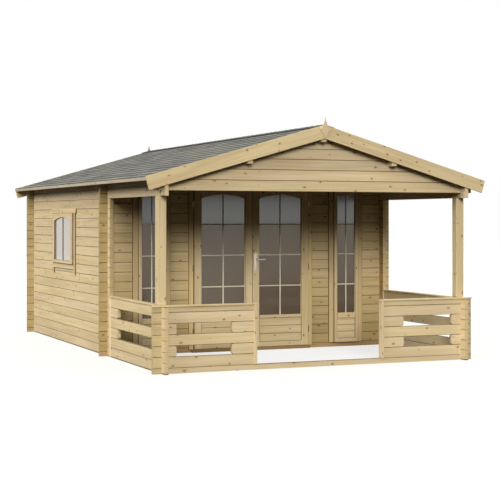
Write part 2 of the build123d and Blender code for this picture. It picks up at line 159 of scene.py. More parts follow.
def spruce(name, grain, rows=None, seed=1.0, turn=0.0, crossed=None, seams=None, dimmed_places=(),
           pale=SPRUCE_PALE, dark=SPRUCE_DARK, knots=KNOT_SHARE):
    """Planed spruce with its grain along one axis, turned about Y if it slopes.

    Rows are the axis, start and height of logs or boards that each have their own tone and joint lines.
    Crossed gives another axis and a function for the places where the grain follows that one.
    Seams is a function for the dark lines between pieces of joinery, dimmed places gives functions and
    colours for places whose colour is darkened, most of them with painted shade, and knots is how strongly
    the knots show."""
    made, tree, shader = new_material(name)
    place = wire(tree, "ShaderNodeTexCoord")
    spot = wire(tree, "ShaderNodeMapping", {0: place.outputs["Object"], "Rotation": (0.0, turn, 0.0)})
    facing = wire(tree, "ShaderNodeMapping", {0: place.outputs["Normal"], "Rotation": (0.0, turn, 0.0)})
    place_parts = wire(tree, "ShaderNodeSeparateXYZ", {0: spot.outputs[0]})
    facing_parts = wire(tree, "ShaderNodeSeparateXYZ", {0: facing.outputs[0]})
    at = {axis: place_parts.outputs[axis] for axis in "XYZ"}
    side_axis, rise_axis = (axis for axis in "XYZ" if axis != grain)
    axes = (grain, side_axis, rise_axis)
    along, side, rise = (at[axis] for axis in axes)
    to_end, to_side, to_rise = (maths(tree, "ABSOLUTE", facing_parts.outputs[axis]) for axis in axes)
    count = 0.0
    if crossed:
        cross_axis, where = crossed
        share = where(tree, at)
        count = share
        if cross_axis == side_axis:
            along, side = swap(tree, share, along, side), swap(tree, share, side, along)
            to_end, to_side = swap(tree, share, to_end, to_side), swap(tree, share, to_side, to_end)
        else:
            along, rise = swap(tree, share, along, rise), swap(tree, share, rise, along)
            to_end, to_rise = swap(tree, share, to_end, to_rise), swap(tree, share, to_rise, to_end)
    if rows:
        row_axis, row_start, row_height = rows
        row = maths(tree, "DIVIDE", maths(tree, "SUBTRACT", at[row_axis], row_start), row_height)
        count = maths(tree, "ADD", maths(tree, "FLOOR", row), count)

    # Random numbers of each log, which shift its grain and set its tone
    key = wire(tree, "ShaderNodeCombineXYZ", {0: count, 1: seed})
    luck = wire(tree, "ShaderNodeTexWhiteNoise", {"Vector": key.outputs[0]}, noise_dimensions="3D")
    chances = wire(tree, "ShaderNodeSeparateColor", {0: luck.outputs["Color"]})
    along = maths(tree, "MULTIPLY_ADD", chances.outputs[0], SHIFT_ALONG, along)
    side = maths(tree, "MULTIPLY_ADD", chances.outputs[1], SHIFT_ACROSS, side)
    rise = maths(tree, "MULTIPLY_ADD", chances.outputs[2], SHIFT_ACROSS, rise)

    # Knots of several sizes, which go through the wood square to each face
    flat_side = maths(tree, "MULTIPLY", side, maths(tree, "SUBTRACT", 1.0, to_side))
    flat_rise = maths(tree, "MULTIPLY", rise, maths(tree, "SUBTRACT", 1.0, to_rise))
    across = maths(tree, "ADD", flat_side, flat_rise)
    knot_along = maths(tree, "MULTIPLY", along, KNOT_STRETCH)
    knot_place = wire(tree, "ShaderNodeCombineXYZ", {0: knot_along, 1: across})
    cells = wire(tree, "ShaderNodeTexVoronoi", {"Vector": knot_place.outputs[0], "Scale": KNOT_CELLS},
                 voronoi_dimensions="2D")
    chosen = wire(tree, "ShaderNodeSeparateColor", {0: cells.outputs["Color"]})
    size = ramp(tree, chosen.outputs[0], KNOT_CHANCE, 1.0, *KNOT_SIZES)
    reach = maths(tree, "DIVIDE", cells.outputs["Distance"], size)
    knot = maths(tree, "MULTIPLY", ramp(tree, reach, *KNOT_EDGE), knots)
    halo = maths(tree, "MULTIPLY", ramp(tree, reach, *HALO_EDGE), knots)

    # Fibres that swing round the knots, over bands of growth and broad patches
    swing = maths(tree, "MULTIPLY", halo, FIBRE_SWING)
    bent = wire(tree, "ShaderNodeCombineXYZ", {
        0: along, 1: maths(tree, "ADD", side, swing), 2: maths(tree, "ADD", rise, swing)}).outputs[0]
    fibres = noise(tree, bent, FIBRE_STRETCH, detail=4.0)
    bands = noise(tree, bent, BAND_STRETCH, detail=2.0)
    patches = noise(tree, bent, PATCH_STRETCH, detail=1.0)
    streak = maths(tree, "MULTIPLY", ramp(tree, fibres, *FIBRE_SPAN), FIBRE_SHARE)
    streak = maths(tree, "MULTIPLY_ADD", ramp(tree, bands, *BAND_SPAN), BAND_SHARE, streak)
    colour = blend(tree, streak, pale, dark)
    light = maths(tree, "MULTIPLY", ramp(tree, chances.outputs[0], 0.0, 1.0, *LOG_TONES),
                  ramp(tree, patches, *NOISE_SPAN, *PATCH_TONES))
    blue = maths(tree, "MULTIPLY", light, ramp(tree, chances.outputs[1], 0.0, 1.0, *LOG_BLUES))
    tone = wire(tree, "ShaderNodeCombineColor", {0: light, 1: light, 2: blue})
    colour = blend(tree, 1.0, colour, tone.outputs[0], "MULTIPLY")
    colour = blend(tree, maths(tree, "MULTIPLY", halo, HALO_SHARE), colour, dark)
    knot_colour = blend(tree, ramp(tree, reach, *KNOT_FADE), KNOT_CORE, KNOT_RIM)
    colour = blend(tree, knot, colour, knot_colour)

    # End grain with growth rings, then painted shade and other darkening, and the dark lines in the V's
    # between rows and in seams
    rings = wire(tree, "ShaderNodeTexWave", {"Vector": bent, "Scale": RING_SCALE, "Distortion": RING_WANDER},
                 wave_type="RINGS", rings_direction="X")
    end_colour = blend(tree, rings.outputs["Fac"], END_PALE, END_DARK)
    end = ramp(tree, to_end, *END_TURN)
    colour = blend(tree, maths(tree, "MULTIPLY", end, END_SHARE), colour, end_colour)
    for where, dimming in dimmed_places:
        colour = blend(tree, where(tree, at), colour, blend(tree, 1.0, colour, dimming, "MULTIPLY"))
    if rows:
        middle = maths(tree, "ABSOLUTE", maths(tree, "SUBTRACT", maths(tree, "FRACT", row), 0.5))
        from_joint = maths(tree, "MULTIPLY", maths(tree, "SUBTRACT", 0.5, middle), row_height)
        faint = ramp(tree, end, 0.0, 1.0, JOINT_SHARE, JOINT_SHARE * END_JOINT_SHARE)
        line = maths(tree, "MULTIPLY", ramp(tree, from_joint, JOINT_HALF, JOINT_CORE), faint)
        colour = blend(tree, line, colour, JOINT_BROWN)
    if seams:
        colour = blend(tree, maths(tree, "MULTIPLY", seams(tree, at), JOINT_SHARE), colour, JOINT_BROWN)

    relief = {"Height": fibres, "Strength": GRAIN_RELIEF, "Distance": GRAIN_DEPTH}
    bump = wire(tree, "ShaderNodeBump", relief)
    tree.links.new(colour, shader.inputs["Base Color"])
    tree.links.new(bump.outputs[0], shader.inputs["Normal"])
    tree.links.new(ramp(tree, fibres, *NOISE_SPAN, *WOOD_ROUGH), shader.inputs["Roughness"])
    shader.inputs["Specular IOR Level"].default_value = WOOD_GLOSS
    return made


def dress(material, *names):
    """Gives CAD pieces their finish."""
    for name in names:
        mesh = nodes[name].data
        mesh.materials.clear()
        mesh.materials.append(material)


def front_ends(tree, at):
    """The end grain of the left wall's logs, which looks to the front and gets painted shade."""
    return maths(tree, "LESS_THAN", at["Y"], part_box("left_wall")[0][1] + END_SKIN)


def shaded_nook(tree, at):
    """Painted shade on the inner face of the right wall's ends, in the back corner of the veranda."""
    inner = maths(tree, "LESS_THAN", at["X"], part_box("right_wall")[0][0] + END_SKIN)
    return maths(tree, "MULTIPLY", inner, maths(tree, "LESS_THAN", at["Y"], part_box("corner_piers")[0][1]))


def ground_contact(tree, at):
    """Painted contact shadow along the lowest edge of the logs, where they meet the ground."""
    return maths(tree, "LESS_THAN", at["Z"], CONTACT_TOP)


long_rows = ("Z", 0.0, LOG_HEIGHT)
contact_shade = (ground_contact, CONTACT_SHADOW)
left_logs = spruce("left_wall_logs", "Y", long_rows, seed=3.0, dimmed_places=((front_ends, END_SHADE), contact_shade))
dress(left_logs, "left_wall")
right_logs = spruce("right_wall_logs", "Y", long_rows, seed=3.0, dimmed_places=((shaded_nook, NOOK_SHADE), contact_shade))
dress(right_logs, "right_wall")
side_logs = spruce("side_logs", "Y", long_rows, seed=3.0, dimmed_places=(contact_shade,))
dress(side_logs, "left_plate", "right_plate")

# Walls across the building: the same logs, but starting with half a log, so that their joints lie at
# the middle of the long walls' logs. The gables run up to the roof and carry the purlins.
# Painted shade darkens the ends that stand out beyond the left wall, and the piers towards their foot.
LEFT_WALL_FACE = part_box("left_wall")[0][0]
CORNER_SHADE = (0.645, 0.625, 0.540)
FOOT_TOP = 0.07
FOOT_DARKENING = (0.71, 0.60, 0.49)
# Painted shade: the piers are a warmer, browner copy of the cross-wall logs, for the warm shade of the
# veranda.
PIER_SHADE_PALE = (0.655, 0.522, 0.292)
PIER_SHADE_DARK = (0.500, 0.362, 0.172)
SHADE_TOP = 1.35
SHADE_SHARE = 0.95


def beyond_corner(tree, at):
    """The ends of the cross logs that stand out from the left wall, which get painted shade."""
    return maths(tree, "LESS_THAN", at["X"], LEFT_WALL_FACE)


def shaded_corner(tree, at):
    """Painted shade on the log ends outside, and on the piers, darker towards their foot."""
    low_shade = ramp(tree, at["Z"], SHADE_TOP, FOOT_TOP, 0.0, SHADE_SHARE)
    return maths(tree, "MAXIMUM", low_shade, beyond_corner(tree, at))


def near_ground(tree, at):
    """The lowest part of a piece, up to a set height above the ground."""
    return maths(tree, "LESS_THAN", at["Z"], FOOT_TOP)


cross_rows = ("Z", LOG_HEIGHT / 2, LOG_HEIGHT)
cross_logs = spruce("cross_wall_logs", "X", cross_rows, seed=11.0, dimmed_places=((beyond_corner, CORNER_SHADE),))
dress(cross_logs, "rear_wall")
pier_logs = spruce("pier_logs", "X", cross_rows, seed=11.0, dimmed_places=((shaded_corner, CORNER_SHADE),),
                   pale=PIER_SHADE_PALE, dark=PIER_SHADE_DARK)
dress(pier_logs, "corner_piers", "middle_piers")
foot_logs = spruce("front_foot_logs", "X", cross_rows, seed=14.0, dimmed_places=((near_ground, FOOT_DARKENING),))
dress(foot_logs, "front_base_logs")
gable_logs = spruce("gable_logs", "X", cross_rows, seed=12.0)
dress(gable_logs, "front_gable", "veranda_gable")

# Purlins: planed spruce beams that run the whole length of the roof. They are let into the logs of the
# gables and carry the roof boards.
purlin_wood = spruce("purlin_wood", "Y", seed=5.0)
dress(purlin_wood, "ridge_purlin", "side_purlins")

# Roof boards: narrow spruce boards with chamfered tongued joints, nailed to the purlins side by side
# from ridge to eave. Their planed undersides are the ceiling of the room and of the veranda.
PITCH = math.radians(16)
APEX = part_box("ridge_purlin")[1][2]
ROOF_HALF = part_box("right_roof")[1][1]
ROOF_RUN = 2.18
BOARD_COUNT = 70
BOARD_WIDE = 2 * ROOF_HALF / BOARD_COUNT
BOARD_THICK = 0.018
BOARD_CHAMFER = 0.003
# Painted shade: the boards are coloured much darker than the spruce, for the shade under the roof.
SHADED_BOARD_PALE = (0.170, 0.108, 0.050)
SHADED_BOARD_DARK = (0.117, 0.070, 0.029)
TINY = 0.0005
ALONG = 0.9


def begin(add, name, **options):
    """Starts a piece from one of Blender's primitives, alone and selected."""
    bpy.ops.object.select_all(action="DESELECT")
    add(**options)
    piece = bpy.context.object
    piece.name = name
    return piece


def pick(piece, kind, test):
    """In edit mode, selects the corners, edges or faces whose place and direction pass a test."""
    bpy.ops.mesh.select_mode(type=kind)
    bpy.ops.mesh.select_all(action="DESELECT")
    shape = bmesh.from_edit_mesh(piece.data)
    if kind == "VERT":
        for corner in shape.verts:
            corner.select = test(corner.co)
    elif kind == "EDGE":
        for edge in shape.edges:
            first, last = (corner.co for corner in edge.verts)
            edge.select = test((first + last) / 2, (last - first).normalized())
    else:
        for face in shape.faces:
            face.select = test(face.calc_center_median(), face.normal)
    shape.select_flush_mode()
    bmesh.update_edit_mesh(piece.data)


def edit(piece):
    """Opens a piece for shaping."""
    bpy.context.view_layer.objects.active = piece
    bpy.ops.object.mode_set(mode="EDIT")


def done():
    """Closes the piece that is being shaped."""
    bpy.ops.object.mode_set(mode="OBJECT")


def bevel_edges(piece, width, segments, test):
    """Chamfers or rounds the edges of a piece whose middle and direction pass a test."""
    edit(piece)
    pick(piece, "EDGE", test)
    bpy.ops.mesh.bevel(offset=width, segments=segments)
    done()


def alone(piece):
    """Selects one piece and makes it the active one."""
    bpy.ops.object.select_all(action="DESELECT")
    piece.select_set(True)
    bpy.context.view_layer.objects.active = piece


def apply_place(piece):
    """Puts a piece's place, turn and scale into its mesh."""
    alone(piece)
    bpy.ops.object.transform_apply(location=True, rotation=True, scale=True)


def slab(name, low, high):
    """Box between two corners, as the blank of a board or bar."""
    piece = begin(bpy.ops.mesh.primitive_cube_add, name, size=1.0)
    piece.scale = [last - first for first, last in zip(low, high)]
    piece.location = [(first + last) / 2 for first, last in zip(low, high)]
    apply_place(piece)
    return piece


def finish_modifier(piece, modifier):
    """Applies a modifier of the piece."""
    bpy.context.view_layer.objects.active = piece
    bpy.ops.object.modifier_apply(modifier=modifier.name)


def repeat(piece, count, step):
    """Lays copies of a piece in a row, each one step on from the last."""
    row = piece.modifiers.new("row", "ARRAY")
    row.count = count
    row.use_relative_offset = False
    row.use_constant_offset = True
    row.constant_offset_displace = step
    finish_modifier(piece, row)


def trim(piece, place, outward):
    """Saws off what lies beyond a plane and closes the cut."""
    edit(piece)
    bpy.ops.mesh.select_all(action="SELECT")
    bpy.ops.mesh.bisect(plane_co=place, plane_no=outward, use_fill=True, clear_outer=True)
    done()


def hand_over(piece, material, body, slot, *stands_for):
    """Gives a finished piece its material, unless it has one, and the body that it rides on. Slot is not
    used.
    """
    if material:
        piece.data.materials.clear()
        piece.data.materials.append(material)
    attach(piece, body)
    if stands_for:
        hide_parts(*stands_for)


def to_slope(piece, side):
    """Lays a flat piece, whose +X runs down the slope, on the right (1) or left (-1) side of the roof."""
    piece.rotation_euler = (0.0, PITCH, 0.0 if side == 1 else math.pi)
    piece.location = (0.0, 0.0, APEX)
    apply_place(piece)
    trim(piece, (0.0, 0.0, 0.0), (-side, 0.0, 0.0))


for side, name in ((1, "right"), (-1, "left")):
    boards = slab(f"{name}_roof_boards", (-BOARD_THICK, -ROOF_HALF, 0.0),
                  (ROOF_RUN, BOARD_WIDE - ROOF_HALF, BOARD_THICK))
    bevel_edges(boards, BOARD_CHAMFER, 1, lambda middle, way: middle.z < TINY and abs(way.x) > ALONG)
    repeat(boards, BOARD_COUNT, (0.0, BOARD_WIDE, 0.0))
    to_slope(boards, side)
    shaded_roof_wood = spruce(f"{name}_shaded_roof_wood", "X", ("Y", -ROOF_HALF, BOARD_WIDE), seed=21.0 + side,
                       turn=-side * PITCH, pale=SHADED_BOARD_PALE, dark=SHADED_BOARD_DARK)
    hand_over(boards, shaded_roof_wood, "cabin", "roof_boards", f"{name}_roof")

# Shingles: strips of bitumen felt with grey mineral granules, slotted into three tabs each and nailed
# in rows from the eave up, every row half a tab on from the one below and lapping its nails.
SHINGLE_ROWS = 15
SHINGLE_END = 2.198
SHINGLE_ROW = SHINGLE_END / SHINGLE_ROWS
SHINGLE_TAB = 1.0 / 3.0
SHINGLE_SLOT = 0.008
SHINGLE_LAP = 0.02
SHINGLE_THICK = 0.003
SHINGLE_CORNER = 0.01
SHINGLE_SLIP = 0.002
UNDERLAY = 0.001
GRANULE_PALE = (0.222, 0.223, 0.199)
GRANULE_DARK = (0.075, 0.081, 0.084)
BITUMEN = (0.018, 0.018, 0.018)
TAB_SHARE = 0.50
CLOUD_STRETCH = (6.0, 6.0, 6.0)
CLOUD_SHARES = (0.15, 0.35)
GRIT_STRETCH = (430.0, 430.0, 430.0)
GRIT_SPAN = (0.35, 0.65)
GRIT_TONES = (0.75, 1.25)
GRIT_RELIEF = 0.5
GRIT_DEPTH = 0.001
LAP_SHADE = (0.032, 0.008)
LAP_SHARE = 0.75
CUT_TURN = (0.9, 0.7)
FELT_ROUGH = 0.95
FELT_GLOSS = 0.05
SHINGLE_SEED = 70


def granules(name, row_shadow):
    """Bitumen felt with mineral granules: every tab has its own grey, and its cut edges are black.

    Row shadow adds a painted shadow band that each lapped row casts on the head of the row below it."""
    made, tree, shader = new_material(name)
    place = wire(tree, "ShaderNodeTexCoord")
    spot = place.outputs["Object"]
    tone = wire(tree, "ShaderNodeAttribute", attribute_name="tone")
    grit = noise(tree, spot, GRIT_STRETCH, detail=1.0)
    clouds = ramp(tree, noise(tree, spot, CLOUD_STRETCH, detail=3.0), *NOISE_SPAN, *CLOUD_SHARES)
    share = maths(tree, "MULTIPLY_ADD", tone.outputs["Fac"], TAB_SHARE, clouds)
    colour = blend(tree, share, GRANULE_DARK, GRANULE_PALE)
    speck = ramp(tree, grit, *GRIT_SPAN, *GRIT_TONES)
    speck = wire(tree, "ShaderNodeCombineColor", {0: speck, 1: speck, 2: speck})
    colour = blend(tree, 1.0, colour, speck.outputs[0], "MULTIPLY")
    if row_shadow:
        across = wire(tree, "ShaderNodeSeparateXYZ", {0: spot}).outputs["X"]
        run = maths(tree, "MULTIPLY", maths(tree, "ABSOLUTE", across), 1.0 / math.cos(PITCH))
        row_share = maths(tree, "FRACT", maths(tree, "DIVIDE", run, SHINGLE_ROW))
        down = maths(tree, "MULTIPLY", row_share, SHINGLE_ROW)
        colour = blend(tree, ramp(tree, down, *LAP_SHADE, 0.0, LAP_SHARE), colour, BITUMEN)
    facing = wire(tree, "ShaderNodeSeparateXYZ", {0: place.outputs["Normal"]})
    colour = blend(tree, ramp(tree, facing.outputs["Z"], *CUT_TURN), colour, BITUMEN)
    bump = wire(tree, "ShaderNodeBump", {"Height": grit, "Strength": GRIT_RELIEF, "Distance": GRIT_DEPTH})
    tree.links.new(colour, shader.inputs["Base Color"])
    tree.links.new(bump.outputs[0], shader.inputs["Normal"])
    shader.inputs["Roughness"].default_value = FELT_ROUGH
    shader.inputs["Specular IOR Level"].default_value = FELT_GLOSS
    return made


def vary(piece, faces_each, corners_each, slip, seed):
    """Gives each copy in an array its own tone and a small slip of its place."""
    luck = random.Random(seed)
    tones = piece.data.attributes.new("tone", "FLOAT", "FACE")
    for count in range(len(piece.data.polygons) // faces_each):
        shade = luck.random()
        moved = Vector([luck.uniform(-1.0, 1.0) * reach for reach in slip])
        for face in range(count * faces_each, (count + 1) * faces_each):
            tones.data[face].value = shade
        for corner in range(count * corners_each, (count + 1) * corners_each):
            piece.data.vertices[corner].co += moved


def trim_ends(piece):
    """Saws a piece off at both ends of the roof."""
    for end in (1.0, -1.0):
        trim(piece, (0.0, end * ROOF_HALF, 0.0), (0.0, end, 0.0))


def join(pieces):
    """Joins pieces into the first."""
    alone(pieces[0])
    for piece in pieces[1:]:
        piece.select_set(True)
    bpy.ops.object.join()
    return pieces[0]


roof_felt = granules("bitumen_shingle", True)
for side, name in ((1, "right"), (-1, "left")):
    long = SHINGLE_ROW + SHINGLE_LAP
    half_tab = (SHINGLE_TAB - SHINGLE_SLOT) / 2
    tabs = slab(f"{name}_shingles", (-long, -half_tab, 0.0), (0.0, half_tab, SHINGLE_THICK))
    bevel_edges(tabs, SHINGLE_CORNER, 2, lambda middle, way: middle.x > -TINY and abs(way.z) > ALONG)
    tabs.rotation_euler = (0.0, -math.asin(SHINGLE_THICK / SHINGLE_ROW), 0.0)
    head_drop = SHINGLE_THICK * long / SHINGLE_ROW
    tabs.location = (0.0, -ROOF_HALF - SHINGLE_TAB / 2, BOARD_THICK + UNDERLAY + head_drop)
    apply_place(tabs)
    tab_faces = len(tabs.data.polygons)
    tab_corners = len(tabs.data.vertices)
    repeat(tabs, 2, (SHINGLE_ROW, SHINGLE_TAB / 2, 0.0))
    repeat(tabs, math.ceil(2 * ROOF_HALF / SHINGLE_TAB) + 2, (0.0, SHINGLE_TAB, 0.0))
    repeat(tabs, (SHINGLE_ROWS + 1) // 2, (2 * SHINGLE_ROW, 0.0, 0.0))
    vary(tabs, tab_faces, tab_corners, (SHINGLE_SLIP, SHINGLE_SLIP / 2, 0.0), SHINGLE_SEED + side)
    underlay = slab("underlay", (-BOARD_THICK, -ROOF_HALF, BOARD_THICK),
                    (SHINGLE_END - SHINGLE_LAP, ROOF_HALF, BOARD_THICK + UNDERLAY))
    join([tabs, underlay])
    to_slope(tabs, side)
    trim_ends(tabs)
    hand_over(tabs, roof_felt, "cabin", "shingles", f"{name}_roof_covering")

# Ridge caps: single tabs cut from the same shingles, bent over the ridge and nailed one over the next,
# so that each lapped edge looks to the front.
CAP_HALF = 0.125
CAP_LONG = 0.3
CAP_STEP = 0.145
CAP_BEND = 0.012
CAP_SEED = 75
caps = slab("ridge_caps", (-CAP_HALF, -CAP_LONG / 2, 0.0), (CAP_HALF, CAP_LONG / 2, SHINGLE_THICK))
edit(caps)
bpy.ops.mesh.select_all(action="SELECT")
bpy.ops.mesh.bisect(plane_co=(0.0, 0.0, 0.0), plane_no=(1.0, 0.0, 0.0))
pick(caps, "VERT", lambda place: abs(place.x) < TINY)
bpy.ops.transform.translate(value=(0.0, 0.0, CAP_HALF * math.tan(PITCH)))
done()
bevel_edges(caps, CAP_BEND, 3, lambda middle, way: abs(middle.x) < TINY and abs(way.y) > ALONG)
caps.rotation_euler = (-math.asin(SHINGLE_THICK / CAP_STEP), 0.0, 0.0)
covering_top = APEX + (BOARD_THICK + UNDERLAY + 2 * SHINGLE_THICK) / math.cos(PITCH)
caps.location = (0.0, -ROOF_HALF, covering_top - CAP_HALF * math.tan(PITCH) + SHINGLE_THICK)
apply_place(caps)
cap_faces = len(caps.data.polygons)
cap_corners = len(caps.data.vertices)
repeat(caps, math.ceil(2 * ROOF_HALF / CAP_STEP) + 1, (0.0, CAP_STEP, 0.0))
vary(caps, cap_faces, cap_corners, (SHINGLE_SLIP, SHINGLE_SLIP, 0.0), CAP_SEED)
trim_ends(caps)
hand_over(caps, granules("bitumen_ridge", False), "cabin", "shingles")

# Eave trims: planed spruce battens nailed along the ends of the roof boards, under the first row of
# shingles, where the weather has turned them a little grey.
TRIM_PALE = (0.620, 0.555, 0.430)
TRIM_DARK = (0.500, 0.430, 0.310)
TRIM_EDGE = 0.002
WELD_REACH = 0.00005
SOFT_ANGLE = 40


def soften(width, segments, *names):
    """Takes the sharp edges off CAD pieces."""
    for name in names:
        weld = nodes[name].modifiers.new("weld", "WELD")
        weld.merge_threshold = WELD_REACH
        edge = nodes[name].modifiers.new("soft_edge", "BEVEL")
        edge.width = width
        edge.segments = segments
        edge.limit_method = "ANGLE"
        edge.angle_limit = math.radians(SOFT_ANGLE)


trim_wood = spruce("eave_trim_wood", "Y", seed=32.0, pale=TRIM_PALE, dark=TRIM_DARK)
dress(trim_wood, "eave_trims")
soften(TRIM_EDGE, 2, "eave_trims")

# Barge boards: wide planed spruce boards, mitred at the ridge. They are nailed to the ends of the purlins
# and of the roof boards, and hide both.
for side, name in ((1, "right"), (-1, "left")):
    dress(spruce(f"{name}_barge_wood", "X", seed=33.0 + side, turn=-side * PITCH), f"{name}_barges")
soften(TRIM_EDGE, 2, "left_barges", "right_barges")

# Finials: kite-shaped spruce boards with a drawn-out tip, sawn to shape and nailed over the mitre of the
# barges. The one at the rear is coloured darker and greyer.
FINIAL_GREY = (0.42, 0.46, 0.52)


def at_rear(tree, at):
    """The rear half of the building."""
    return maths(tree, "GREATER_THAN", at["Y"], 0.0)


finial_wood = spruce("finial_wood", "Z", seed=36.0, dimmed_places=((at_rear, FINIAL_GREY),))
dress(finial_wood, "finials")

# Fences: a half log across the entrance, and panels of six courses of the same spruce logs, with two of
# them left open. Their free ends are closed by a planed upright board, and planed caps lie on top.
CAP_EDGE = 0.003
# Painted shadow on the fence log ends that stand out beyond the corners.
FENCE_END_SHADOW = (0.79, 0.80, 0.74)


def fence_ends(tree, at):
    """The log ends that stand out beyond both corners, which get a painted shadow."""
    return maths(tree, "GREATER_THAN", maths(tree, "ABSOLUTE", at["X"]), -LEFT_WALL_FACE)


fence_logs = spruce("fence_logs", "X", cross_rows, seed=13.0, dimmed_places=((fence_ends, FENCE_END_SHADOW),))
dress(fence_logs, "front_base_beam", "front_fences")
dress(side_logs, "side_fences")
dress(spruce("fence_end_wood", "Z", seed=37.0), "fence_end_boards")
dress(spruce("front_cap_wood", "X", seed=38.0), "front_fence_caps")
dress(spruce("side_cap_wood", "Y", seed=39.0), "side_fence_caps")
soften(CAP_EDGE, 2, "front_fence_caps", "side_fence_caps", "fence_end_boards")

# Veranda posts: square planed spruce posts with softened edges. They stand on the fence caps, are screwed
# to them, and carry the plates.
POST_EDGE = 0.008
POST_PALE = (0.625, 0.512, 0.300)
POST_DARK = (0.475, 0.350, 0.175)
dress(spruce("post_wood", "Z", seed=40.0, pale=POST_PALE, dark=POST_DARK), "veranda_posts")
soften(POST_EDGE, 3, "veranda_posts")

# Door frame: jambs, head and sill of planed spruce, let into the opening of the wall, with flat casings
# nailed over the ends of the logs. The sill is darkened near the ground with painted shade.
DOOR_CASING_WIDE = 0.060
SILL_SHADE = (0.44, 0.36, 0.27)
# Warmer, browner casings and jambs: partly the wood's own tone, partly painted shade of the veranda.
CASING_PALE = (0.635, 0.490, 0.262)
CASING_DARK = (0.485, 0.340, 0.156)
SEAM_HALF = 0.005


def thin_lines(tree, value, places):
    """Share of the thin dark lines where a value passes some places."""
    share = 0.0
    for place in places:
        away = maths(tree, "ABSOLUTE", maths(tree, "SUBTRACT", value, place))
        share = maths(tree, "MAXIMUM", share, ramp(tree, away, SEAM_HALF, SEAM_HALF / 4))
    return share


def jamb_edges(tree, at):
    """Both edges of the door's casings."""
    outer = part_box("door_jambs")[1][0]
    return thin_lines(tree, maths(tree, "ABSOLUTE", at["X"]), (outer - DOOR_CASING_WIDE, outer))


jamb_wood = spruce("jamb_wood", "Z", seed=41.0, seams=jamb_edges, pale=CASING_PALE, dark=CASING_DARK)
dress(jamb_wood, "door_jambs")
dress(spruce("head_wood", "X", seed=42.0), "door_head")
dress(spruce("sill_wood", "X", seed=54.0, dimmed_places=((near_ground, SILL_SHADE),)), "door_sill")

# Front windows: spruce casings with uprights and a head, nailed over the logs, and fixed sashes with a
# boarded panel under the glass. The joints between their boards, stiles and rails show as dark lines.
SASH_WIDE = 0.352
SASH_STILE = 0.045
SASH_RAIL = 0.053
SASH_PANEL_TALL = 0.260
CASING_WIDE = 0.490
PANEL_BOARDS = 3
sash_low, sash_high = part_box("front_window_sashes")
SASH_TOP = sash_high[2]
SASH_SPAN = (sash_high[0] - SASH_WIDE, sash_high[0])
SASH_PANEL = (sash_low[2] + SASH_RAIL, sash_low[2] + SASH_RAIL + SASH_PANEL_TALL)
LIGHT_SPAN = (SASH_SPAN[0] + SASH_STILE, SASH_SPAN[1] - SASH_STILE)
LIGHT_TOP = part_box("front_window_glass")[1][2]
casing_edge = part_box("front_window_casings")[1][0]
CASING_SPAN = (casing_edge - CASING_WIDE, casing_edge)


def over_sash(tree, at):
    """The head of a front window's casing."""
    return maths(tree, "GREATER_THAN", at["Z"], SASH_TOP)


def casing_edges(tree, at):
    """The edges of the uprights of a front window's casing."""
    lines = thin_lines(tree, maths(tree, "ABSOLUTE", at["X"]), (*CASING_SPAN, *SASH_SPAN))
    return maths(tree, "MULTIPLY", lines, maths(tree, "LESS_THAN", at["Z"], SASH_TOP))


def between(tree, value, low, high):
    """One where a value lies between two limits, and nought elsewhere."""
    over = maths(tree, "GREATER_THAN", value, low)
    return maths(tree, "MULTIPLY", over, maths(tree, "LESS_THAN", value, high))


def frame_joints(tree, at, light, panel, edges):
    """Joints of stiles with rails and panes, of the boards of the panel, and the outer edges."""
    across = maths(tree, "ABSOLUTE", at["X"])
    board = (panel[1] - panel[0]) / PANEL_BOARDS
    levels = [panel[0] + board * count for count in range(PANEL_BOARDS + 1)]
    level = maths(tree, "MULTIPLY", thin_lines(tree, at["Z"], levels), between(tree, across, *light))
    height = between(tree, at["Z"], panel[0], LIGHT_TOP)
    upright = maths(tree, "MULTIPLY", thin_lines(tree, across, light), height)
    joints = maths(tree, "MAXIMUM", level, upright)
    return maths(tree, "MAXIMUM", joints, thin_lines(tree, across, edges))


def sash_rails(tree, at):
    """Between the stiles of a front window's sash."""
    return between(tree, maths(tree, "ABSOLUTE", at["X"]), *LIGHT_SPAN)


def sash_joints(tree, at):
    """Joints of a front window's sash."""
    return frame_joints(tree, at, LIGHT_SPAN, SASH_PANEL, SASH_SPAN)


casing_wood = spruce("front_casing_wood", "Z", seed=43.0, crossed=("X", over_sash), seams=casing_edges,
                     pale=CASING_PALE, dark=CASING_DARK)
dress(casing_wood, "front_window_casings")
sash_wood = spruce("front_sash_wood", "Z", seed=44.0, crossed=("X", sash_rails), seams=sash_joints)
dress(sash_wood, "front_window_sashes")

# Side windows: spruce casing boards nailed on the logs, with a head that runs past the uprights, round a
# fixed sash with an arched top rail.
SIDE_CASING_WIDE = 0.062
SIDE_ARCH = 0.047
sash_low, sash_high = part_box("side_window_sashes")
SIDE_SASH_Y = (sash_low[1], sash_high[1])
SIDE_SASH_Z = (sash_low[2], sash_high[2])
SIDE_CASING_Y = (sash_low[1] - SIDE_CASING_WIDE, sash_high[1] + SIDE_CASING_WIDE)
light_low, light_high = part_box("side_window_glass")
SIDE_LIGHT_Y = (light_low[1], light_high[1])
SIDE_SPRING = light_high[2] - SIDE_ARCH


def beside_side_sash(tree, at):
    """The head and the foot of a side window's casing."""
    upright = between(tree, at["Z"], *SIDE_SASH_Z)
    return maths(tree, "SUBTRACT", 1.0, upright)


def side_casing_edges(tree, at):
    """The edges of a side window's casing boards, and the ends of its head."""
    uprights = thin_lines(tree, at["Y"], (*SIDE_CASING_Y, *SIDE_SASH_Y))
    uprights = maths(tree, "MULTIPLY", uprights, maths(tree, "LESS_THAN", at["Z"], SIDE_SASH_Z[1]))
    low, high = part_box("side_window_casings")
    ends = maths(tree, "MAXIMUM", uprights, thin_lines(tree, at["Y"], (low[1], high[1])))
    return maths(tree, "MAXIMUM", ends, thin_lines(tree, at["Z"], SIDE_SASH_Z))


